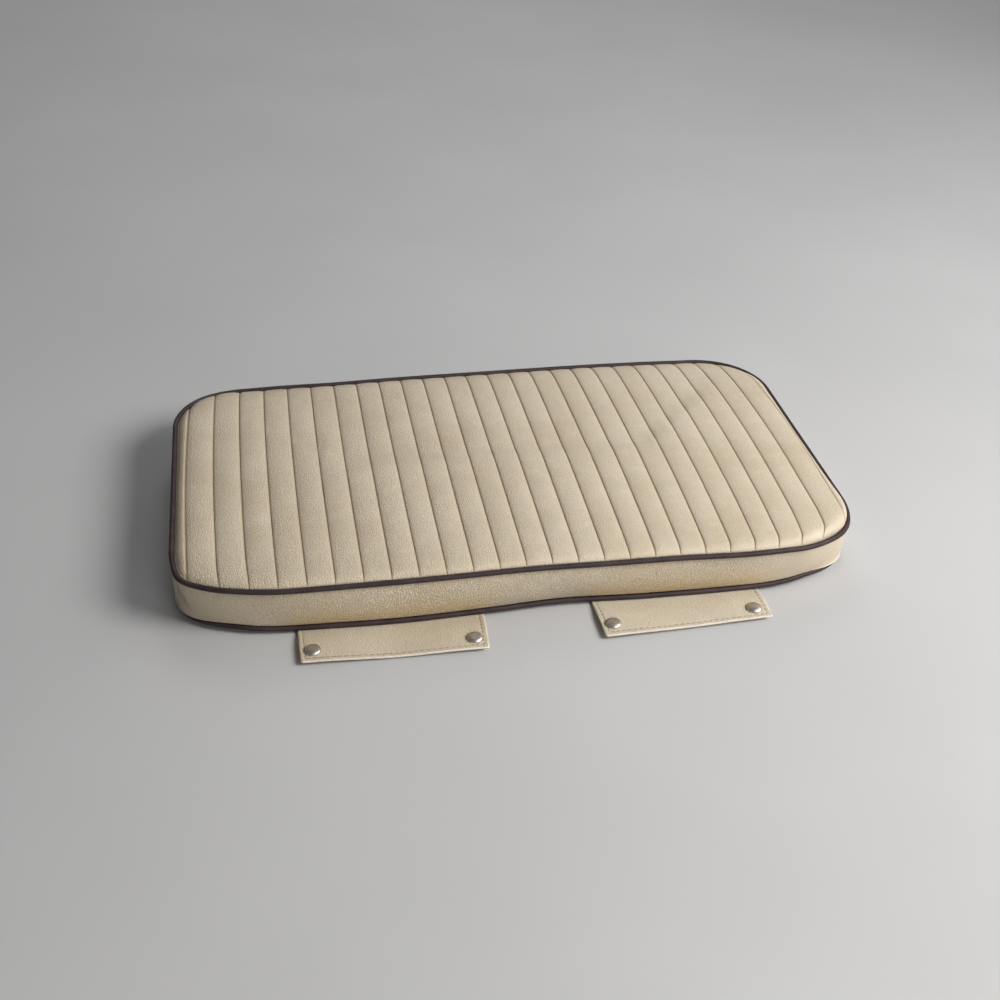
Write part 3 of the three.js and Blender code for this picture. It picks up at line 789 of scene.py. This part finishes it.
# How deep each point lies in the crease, as a share of its full depth
def creaseShare(points, isBoxing):
    start, end = (np.array(crease[key], float) for key in ("start", "end"))
    along = np.clip(((points - start) @ (end - start)) / ((end - start) @ (end - start)), 0, 1)
    away = points - start - along[:, None] * (end - start)
    leftwards = np.cross(crease["inwards"], end - start)
    away = away @ (leftwards / np.linalg.norm(leftwards))
    dent = np.exp(-(np.maximum(away, 0) / crease["width"]) ** 2) * smoothStep(
        1 + away / crease["onset"]) * np.sin(np.pi * np.clip(along, *crease["within"]))
    atCorner = (points[:, 0] < crease["leftOf"]) & (points[:, 1] < crease["frontOf"])
    return dent * (isBoxing & atCorner)


# How much painted bounce light each point takes: only on the front boxing, in a window over each
# flap
def paintedBounceShare(points):
    fade = paintedBounceEdge["fade"]
    yellowed = np.zeros(len(points))
    for left, right, height, spreadOut in paintedBounceWindows:
        window = smoothStep((points[:, 0] - left + fade) / (2 * fade)) * smoothStep(
            (right + fade - points[:, 0]) / (2 * fade))
        yellowed += window * np.exp(-((points[:, 2] - height) / spreadOut) ** 2)
    return yellowed * (points[:, 1] < paintedBounceEdge["frontOf"])


def gradual(value, first, second, start, length):
    return mix(first, second, smoothStep((value - start) / length))


def grainStrength(points, isPanel):
    x, y = points[:, 0], points[:, 1]
    rough = coarseness["corner"]
    onTop = gradual(x, *coarseness["top"])
    onTop += rough["added"] * smoothStep((rough["frontOf"] - y) / rough["overDepth"]) * (
        smoothStep((rough["leftOf"] - x) / rough["overLength"]))
    onBoxing = gradual(x, *coarseness["boxing"])
    onBoxing = gradual(x, onBoxing, *coarseness["rightEnd"])
    return np.where(isPanel, onTop, onBoxing)


def makeCushion():
    shape = makeCushionMesh(fullCrest=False)
    points = shape["points"]
    points = points + swelling(shape)
    dent = creaseShare(points, shape["isBoxing"])
    points += crease["depth"] * dent[:, None] * crease["inwards"]
    piece = meshObject("seat_pad", points, shape["faces"])
    # The crease gets painted shade through the seam mark
    return coverInVinyl(
        piece, seam=np.maximum(shape["seam"], crease["shade"] * dent), crown=shape["crown"],
        yellowed=paintedBounceShare(points), coarseness=grainStrength(points, shape["isPanel"]))


cushion = makeCushion()
print("cushion made")


cordCover = {
    "stations": 720, "sides": 14, "radius": 2.6, "swell": 0.06, "seed": 3, "lump": 45.0,
    "lumpDetail": 2.0,
}


# Points spaced evenly along the true outline, the straight run in front first
def outlinePoints(count):
    quarter = math.pi / 2
    turn = quarter * cornerRadius
    runs = [(2 * straightX, (-1, -1), -quarter), (2 * straightY, (1, -1), 0),
            (2 * straightX, (1, 1), quarter), (2 * straightY, (-1, 1), math.pi)]
    total = sum(run[0] for run in runs) + 4 * turn
    points = []
    for i in range(count):
        s = total * i / count
        for length, (cornerX, cornerY), facing in runs:
            if s < length + turn:
                break
            s -= length + turn
        angle = facing + max(0, s - length) / cornerRadius
        baseX = cornerX * straightX + math.cos(facing + quarter) * min(s, length)
        baseY = cornerY * straightY + math.sin(facing + quarter) * min(s, length)
        points.append((baseX + math.cos(angle) * cornerRadius,
                       baseY + math.sin(angle) * cornerRadius))
    return np.array(points)


# A node tree that takes geometry, the given figures and a finish, and its inputs by name
def newTree(name, figures):
    tree = bpy.data.node_groups.new(name, "GeometryNodeTree")
    face = tree.interface
    face.new_socket("Geometry", in_out="INPUT", socket_type="NodeSocketGeometry")
    for label, value in figures.items():
        kind = "NodeSocketInt" if isinstance(value, int) else "NodeSocketFloat"
        face.new_socket(label, in_out="INPUT", socket_type=kind).default_value = value
    face.new_socket("Finish", in_out="INPUT", socket_type="NodeSocketMaterial")
    face.new_socket("Geometry", in_out="OUTPUT", socket_type="NodeSocketGeometry")
    return tree, put(tree, "NodeGroupInput").outputs


def endTree(tree, start, geometry):
    real = put(tree, "GeometryNodeRealizeInstances", {"Geometry": geometry})
    done = put(tree, "GeometryNodeSetMaterial", {
        "Geometry": real.outputs[0], "Material": start["Finish"]})
    put(tree, "NodeGroupOutput", {"Geometry": done.outputs[0]})
    return tree


# A tube along a curve, swelling a little here and there as a sewn cover does over its cord
def tubeTree():
    tree, start = newTree("cordCover", {
        "Radius": cordCover["radius"] * mm, "Swell": cordCover["swell"],
        "Sides": cordCover["sides"], "Seed": float(cordCover["seed"])})
    place = put(tree, "GeometryNodeInputPosition").outputs[0]
    lumps = put(tree, "ShaderNodeTexNoise", {
        "Vector": place, "W": start["Seed"], "Scale": cordCover["lump"],
        "Detail": cordCover["lumpDetail"]}, noise_dimensions="4D").outputs["Fac"]
    swell = put(tree, "ShaderNodeMath", {
        0: maths(tree, "SUBTRACT", lumps, 0.5), 1: start["Swell"], 2: 1.0},
        operation="MULTIPLY_ADD").outputs[0]
    ring = put(tree, "GeometryNodeCurvePrimitiveCircle", {
        "Resolution": start["Sides"], "Radius": start["Radius"]}).outputs["Curve"]
    wide = put(tree, "GeometryNodeSetCurveRadius", {
        "Curve": start["Geometry"], "Radius": swell}).outputs["Curve"]
    tube = put(tree, "GeometryNodeCurveToMesh", {"Curve": wide, "Profile Curve": ring})
    if "Scale" in tube.inputs:
        radius = put(tree, "GeometryNodeInputRadius").outputs[0]
        tree.links.new(radius, tube.inputs["Scale"])
    return endTree(tree, start, tube.outputs["Mesh"])


def polyCurve(name, line, closed):
    data = bpy.data.curves.new(name, "CURVE")
    data.dimensions = "3D"
    spline = data.splines.new("POLY")
    spline.points.add(len(line) - 1)
    flat = np.column_stack([np.asarray(line, float) * mm, np.ones(len(line))])
    spline.points.foreach_set("co", flat.ravel())
    spline.use_cyclic_u = closed
    return addObject(name, data)


# Runs a node tree on a curve, and leaves the result as a plain mesh piece
def grown(name, carrier, tree, inputs):
    modifier = carrier.modifiers.new("grow", "NODES")
    modifier.node_group = tree
    for item in tree.interface.items_tree:
        if item.item_type == "SOCKET" and item.in_out == "INPUT" and item.name in inputs:
            modifier[item.identifier] = inputs[item.name]
    evaluated = carrier.evaluated_get(bpy.context.evaluated_depsgraph_get())
    mesh = bpy.data.meshes.new_from_object(evaluated)
    mesh.name = name
    carrier.modifiers.remove(modifier)
    bpy.data.objects.remove(carrier)
    mesh.shade_smooth()
    return addObject(name, mesh)


def makePiping(name, level):
    outline = outlinePoints(cordCover["stations"])
    path = pipingCentre(outline[:, 0], outline[:, 1], level)
    carrier = polyCurve(name + "Path", path, closed=True)
    return grown(name, carrier, coverTree, {"Finish": brownPipingVinyl})


coverTree = tubeTree()
upperPiping = makePiping("piping_upper", "upper")
lowerPiping = makePiping("piping_lower", "lower")
print("piping made", len(upperPiping.data.polygons), "faces each")


# Each flap: x from and to at its root and at its tip, y of the tip's two ends, how far it sags
# between its snaps, where the snaps are, and how much painted light brightens its face
flaps = {
    "left_flap": {
        "root": (-220.8, -46), "tip": (-220.1, -49.6), "tipY": (-223, -227.1), "sag": 2,
        "snaps": ((-208.4, -209.2), (-61, -212.8)), "node": "flap_left", "flat": (0.175, 0.053),
        "sockets": ("snap_socket_1", "snap_socket_2"), "paintedLight": 0.14,
    },
    "right_flap": {
        "root": (58.6, 225.4), "tip": (59.4, 224.2), "tipY": (-227.3, -221.1), "sag": 0.8,
        "snaps": ((70.4, -211.4), (209.6, -208.2)), "node": "flap_right", "flat": (0.166, 0.053),
        "sockets": ("snap_socket_3", "snap_socket_4"), "paintedLight": 0.32,
    },
}
flapMake = {
    "length": 50.0, "thickness": 2.2, "rootTuck": 1.2, "rootHeight": 0.4, "cornerRadius": 2.6,
    "columns": 46, "nearEdge": (1.1, 1.8, 2.8, 3.9, 4.6, 5.3, 6.4, 8.5),
    "nearRoot": (1.1, 3, 6, 10, 15, 20, 25, 30, 34.5, 38),
    "stitchInset": 4.6, "stitchDip": 0.25, "stitchWidth": 0.7, "dipBelow": 0.5, "edgeBead": 0.16,
    "socketHeight": 3.2, "socketRadius": 6.4, "fitGap": 0.3, "climb": 0.55, "coarseness": 0.85,
    "ripple": 0.12, "rippleAcross": 9, "rippleDown": 13, "rippleFrom": 8,
    "rimReach": 1.1, "rimTurns": (60, 30, 0, -30, -60), "stitchShade": 0.12, "shadeWidth": 0.8,
}


def lowerEdgeY(x):
    x = np.asarray(x, float)
    return edgeShift(x, np.full_like(x, -halfDepth), "lower")[..., 1] - halfDepth


def flapHeight(flap, x, v):
    left = flap["snaps"][0][0] + flapMake["socketRadius"]
    right = flap["snaps"][1][0] - flapMake["socketRadius"]
    between = np.clip((x - left) / (right - left), 0, 1)
    sag = flap["sag"] * np.sin(math.pi * between) ** 2
    return mix(flapMake["rootHeight"], flapMake["socketHeight"] + flapMake["fitGap"] - sag,
               smoothStep(v / flapMake["climb"]))


def flapWidth(flap):
    return flap["tip"][1] - flap["tip"][0]


# A point of the flap's underside, from how far it is from the left side and from the root,
# as shares of the flap's own width and length
def flapUnder(flap, u, v):
    rootX = mix(*flap["root"], u)
    rootY = lowerEdgeY(rootX) + flapMake["rootTuck"]
    x = mix(rootX, mix(*flap["tip"], u), v)
    y = mix(rootY, mix(*flap["tipY"], u), v)
    return np.stack([x, y, flapHeight(flap, x, v)], -1)


# The flap's grid, in millimetres from its left side and from its root, with its corners rounded
def flapGrid(width):
    length = flapMake["length"]
    near = np.array(flapMake["nearEdge"])
    inner = np.linspace(near[-1], width - near[-1], flapMake["columns"] - 2 * len(near))
    across = np.concatenate([near[:-1], inner, width - near[-2::-1]])
    down = np.concatenate([flapMake["nearRoot"], length - near[::-1]])
    u, v = np.meshgrid(across, down, indexing="ij")
    fromSide = np.minimum(u, width - u)
    fromTip = length - v
    r = flapMake["cornerRadius"]
    p = np.clip(r - fromSide, 0, None)
    q = np.clip(r - fromTip, 0, None)
    bothIn = (p > 0) & (q > 0)
    squeeze = np.where(bothIn, np.maximum(p, q) / np.hypot(p, np.where(bothIn, q, 1)), 1)
    side = np.where(bothIn, r - p * squeeze, fromSide)
    tip = np.where(bothIn, r - q * squeeze, fromTip)
    return np.where(u < width / 2, side, width - side), length - tip


# Rounds the open edge between the rims of the two faces: more points, and faces that join them
def rimBands(points, upperRim, lowerRim):
    topEdge, lowEdge = points[upperRim], points[lowerRim]
    middle = (topEdge + lowEdge) / 2
    ahead = np.roll(middle, -1, 0) - np.roll(middle, 1, 0)
    outward = np.stack([ahead[:, 1], -ahead[:, 0], np.zeros(len(ahead))], -1)
    outward /= np.linalg.norm(outward, axis=1)[:, None]
    if ((middle - middle.mean(0)) * outward).sum(1).mean() < 0:
        outward = -outward
    half = (topEdge[:, 2] - lowEdge[:, 2]) / 2
    rings = []
    for degrees in flapMake["rimTurns"]:
        angle = math.radians(degrees)
        ring = middle + outward * flapMake["rimReach"] * math.cos(angle)
        ring[:, 2] = middle[:, 2] + half * math.sin(angle)
        rings.append(ring)
    faces, last = joinRings(upperRim, rings, len(points))
    return rings, faces + bandFaces(last, lowerRim)


def makeFlap(name, flap):
    width = flapWidth(flap)
    length = flapMake["length"]
    u, v = flapGrid(width)
    under = flapUnder(flap, u / width, v / length)
    inset = np.minimum(np.minimum(u, width - u), length - v)
    away = np.abs(inset - flapMake["stitchInset"])
    dip = flapMake["stitchDip"] * np.exp(-(away / flapMake["stitchWidth"]) ** 2)
    bead = flapMake["edgeBead"] * (inset < flapMake["stitchInset"]) * np.sin(
        math.pi * np.clip(inset / flapMake["stitchInset"], 0, 1))
    rng = np.random.default_rng(len(name))
    ripple = flapMake["ripple"] * np.sin(u / flapMake["rippleAcross"] + rng.uniform(0, 6)) * np.sin(
        v / flapMake["rippleDown"] + rng.uniform(0, 6))
    top = under.copy()
    top[..., 2] += flapMake["thickness"] - dip + bead + ripple * smoothStep(
        inset / flapMake["rippleFrom"])
    under[..., 2] += dip * flapMake["dipBelow"]
    grid = np.arange(u.size).reshape(u.shape)
    low = grid + grid.size

    def rim(index):
        return [*index[:, 0][::-1], *index[0, 1:], *index[1:, -1], *index[-1, -2:0:-1]]

    points = np.concatenate([top.reshape(-1, 3), under.reshape(-1, 3)])
    rings, bands = rimBands(points, rim(grid), rim(low))
    piece = meshObject(name, np.concatenate([points, *rings]),
                       gridFaces(grid.T) + gridFaces(low) + bands)
    count = len(piece.data.vertices)
    # The seam mark paints shade along the dip of the stitch line
    paintedSeamShade, crownMark = np.zeros((2, count))
    paintedSeamShade[:grid.size] = (flapMake["stitchShade"] * np.exp(
        -(away / flapMake["shadeWidth"]) ** 2)).ravel()
    crownMark[2 * grid.size:] = 1
    # The flaps' faces take a little of the pale cut edge colour as painted light
    return coverInVinyl(piece, seam=paintedSeamShade, crown=crownMark,
                        cut=np.maximum(crownMark, flap["paintedLight"]),
                        coarseness=np.full(count, flapMake["coarseness"]))


# Sizes in millimetres, and how uneven the stitches and the pits are
stitch = {
    "pitch": 5.6, "length": 2.9, "radius": 0.3, "arch": 0.42, "sink": 0.26, "unevenness": 0.1,
    "seed": 5, "hole": 0.55, "holeShape": (1.15, 0.9, 0.22), "holeUnevenness": 0.2,
    "holeSeed": 8, "startInset": 2.5, "step": 1.5,
}


# Ends a tree with copies of a shape at even steps along its curve, turned along it and scaled at
# random
def endWithRow(tree, start, shape, largest):
    along = put(tree, "GeometryNodeCurveToPoints", {
        "Curve": start["Geometry"], "Length": start["Pitch"]}, mode="LENGTH").outputs
    turned = put(tree, "FunctionNodeAlignRotationToVector", {"Vector": along["Tangent"]},
                 axis="X", pivot_axis="Z").outputs[0]
    uneven = put(tree, "FunctionNodeRandomValue", {
        2: maths(tree, "SUBTRACT", 1.0, start["Unevenness"]), 3: largest, "Seed": start["Seed"]},
        data_type="FLOAT").outputs[1]
    row = put(tree, "GeometryNodeInstanceOnPoints", {
        "Points": along["Points"], "Instance": shape, "Rotation": turned, "Scale": uneven})
    return endTree(tree, start, row.outputs[0])


def stitchTree(name):
    tree, start = newTree(name, {
        "Pitch": stitch["pitch"] * mm, "Length": stitch["length"] * mm,
        "Radius": stitch["radius"] * mm, "Arch": stitch["arch"] * mm,
        "Sink": stitch["sink"] * mm, "Unevenness": stitch["unevenness"],
        "Seed": stitch["seed"]})
    halfLong = maths(tree, "MULTIPLY", start["Length"], 0.5)
    down = maths(tree, "MULTIPLY", start["Sink"], -1.0)
    fromPoint = put(tree, "ShaderNodeCombineXYZ", {
        "X": maths(tree, "MULTIPLY", halfLong, -1.0), "Z": down}).outputs[0]
    toPoint = put(tree, "ShaderNodeCombineXYZ", {"X": halfLong, "Z": down}).outputs[0]
    topPoint = put(tree, "ShaderNodeCombineXYZ", {"Z": start["Arch"]}).outputs[0]
    arch = put(tree, "GeometryNodeCurveQuadraticBezier", {
        "Resolution": 5, "Start": fromPoint, "Middle": topPoint, "End": toPoint}).outputs[0]
    ring = put(tree, "GeometryNodeCurvePrimitiveCircle", {
        "Resolution": 6, "Radius": start["Radius"]}).outputs["Curve"]
    strand = put(tree, "GeometryNodeCurveToMesh", {
        "Curve": arch, "Profile Curve": ring, "Fill Caps": True}).outputs["Mesh"]
    return endWithRow(tree, start, strand, maths(tree, "ADD", 1.0, start["Unevenness"]))


# Small dark pits where the needle went in, painted shade of the holes, one halfway between each two
# stitches
def pitTree(name):
    tree, start = newTree(name, {
        "Pitch": stitch["pitch"] * mm, "Radius": stitch["hole"] * mm,
        "Unevenness": stitch["holeUnevenness"], "Seed": stitch["holeSeed"]})
    pit = put(tree, "GeometryNodeMeshUVSphere", {
        "Segments": 8, "Rings": 4, "Radius": start["Radius"]}).outputs["Mesh"]
    flat = put(tree, "GeometryNodeTransform", {"Geometry": pit, "Scale": stitch["holeShape"]})
    return endWithRow(tree, start, flat.outputs[0], 1.0)


# The stitch line of a flap, down one side, along the tip and up the other side, moved on by offset
def stitchPath(flap, offset):
    width = flapWidth(flap)
    length = flapMake["length"]
    inset = flapMake["stitchInset"]
    corners = np.array([
        (inset, stitch["startInset"]), (inset, length - inset), (width - inset, length - inset),
        (width - inset, stitch["startInset"])])
    points = []
    for a, b in zip(corners[:-1], corners[1:]):
        steps = max(int(np.hypot(*(b - a)) / stitch["step"]), 2)
        points += [mix(a, b, i / steps) for i in range(steps)]
    points = np.array(points + [corners[-1]])
    if offset:
        gaps = np.hypot(*(points[1:] - points[:-1]).T)
        at = np.concatenate([[0], np.cumsum(gaps)])
        shifted = np.clip(at + offset, 0, at[-1])
        points = np.stack([np.interp(shifted, at, column) for column in points.T], -1)
    line = flapUnder(flap, points[:, 0] / width, points[:, 1] / length)
    line[:, 2] += flapMake["thickness"] - flapMake["stitchDip"] / 2
    return line


threads = stitchTree("threadRow")
pits = pitTree("needlePits")
flapPieces = {}
for name, flap in flaps.items():
    sheet = makeFlap(name, flap)
    row = grown(name + "_thread", polyCurve(name + "Row", stitchPath(flap, 0), closed=False),
                threads, {"Finish": sewingThread})
    dots = grown(name + "_needle_holes",
                 polyCurve(name + "Dots", stitchPath(flap, stitch["pitch"] / 2), closed=False),
                 pits, {"Finish": needleHoleShade})
    flapPieces[name] = (sheet, row, dots)
print("flaps made and stitched")


# The rim is a list of how far in it lies from the cap's radius and how high over its foot
snap = {
    "capRadius": 7.5, "capHeight": 3.4, "rimHeight": 0.7, "postRadius": 2.2, "flare": 0.9,
    "flareThickness": 0.4, "socketPlate": 0.8, "segments": 56, "domeTurns": range(88, 3, -7),
    "domePower": 0.92, "rim": ((0.55, 0), (0.2, 0.08), (0, 0.32), (0, 0.55)),
}


# A closed piece turned round an upright axis, from radii and heights that go from axis to axis
def turnedPiece(name, profile, at, segments):
    points, faces, rings = [], [], []
    for radius, height in profile:
        turns = segments if radius else 1
        rings.append(list(range(len(points), len(points) + turns)))
        for i in range(turns):
            angle = 2 * math.pi * i / segments
            points.append((at[0] + radius * math.cos(angle), at[1] + radius * math.sin(angle),
                           at[2] + height))
    for low, high in zip(rings[:-1], rings[1:]):
        if len(low) == 1:
            faces += [(low[0], high[(i + 1) % segments], high[i]) for i in range(segments)]
        elif len(high) == 1:
            faces += [(low[i], low[(i + 1) % segments], high[0]) for i in range(segments)]
        else:
            faces += bandFaces(high, low)
    return meshObject(name, points, faces)


def makeSnapCap(name, at):
    gap = flapMake["fitGap"]
    flareTop = -flapMake["thickness"] - snap["socketPlate"] - 2 * gap
    flareFoot = flareTop - snap["flareThickness"]
    flareRadius = snap["postRadius"] + snap["flare"]
    rim = [(snap["capRadius"] - inwards, gap + height) for inwards, height in snap["rim"]]
    dome = []
    for degrees in snap["domeTurns"]:
        angle = math.radians(degrees)
        dome.append((snap["capRadius"] * math.sin(angle) ** snap["domePower"],
                     gap + snap["rimHeight"]
                     + (snap["capHeight"] - snap["rimHeight"]) * math.cos(angle)))
    profile = [
        (0, flareFoot), (flareRadius, flareFoot), (flareRadius, flareTop),
        (snap["postRadius"], flareTop), (snap["postRadius"], gap), *rim, *dome,
        (0, gap + snap["capHeight"]),
    ]
    cap = turnedPiece(name, profile, at, snap["segments"])
    cap.data.materials.append(polishedNickel)
    return cap


caps = []
capLevel = flapMake["socketHeight"] + flapMake["fitGap"] + flapMake["thickness"]
for flap in flaps.values():
    for place in flap["snaps"]:
        number = len(caps) + 1
        caps.append(makeSnapCap(f"snap_dome_{number}", (*place, capLevel)))
for node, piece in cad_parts.items():
    if node.startswith("snap_socket"):
        for holder in piece.material_slots:
            holder.material = polishedNickel
print("snaps made")


ground = {
    "reach": 6.0, "mottle": 3.0, "mottleSpan": (0.3, 0.7), "dark": (0.5, 0.5, 0.505),
    "light": (0.53, 0.53, 0.535), "roughness": 0.85,
}


def makeFloor():
    half = ground["reach"] / mm
    corners = [(-half, -half, 0), (half, -half, 0), (half, half, 0), (-half, half, 0)]
    piece = meshObject("floor", corners, [(0, 1, 2, 3)], smooth=False)
    material, tree, shader, place = newMaterial("paleFloor")
    mottle = noise(tree, place, ground["mottle"], Detail=3.0)
    feed(tree, shader, {
        "Base Color": ramp(tree, mottle, ground["mottleSpan"], ground["dark"], ground["light"]),
        "Roughness": ground["roughness"]})
    piece.data.materials.append(material)
    return piece


makeFloor()
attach(cushion, "root")
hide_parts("cushion")
for piece, node in ((upperPiping, "piping_top"), (lowerPiping, "piping_bottom")):
    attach(piece, "root")
    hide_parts(node)
for number, cap in enumerate(caps, 1):
    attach(cap, "root")
    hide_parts(f"snap_cap_{number}")
for name, flap in flaps.items():
    sheet, row, dots = flapPieces[name]
    for piece in (sheet, row, dots):
        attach(piece, "root")
    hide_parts(flap["node"])

print("all pieces declared")
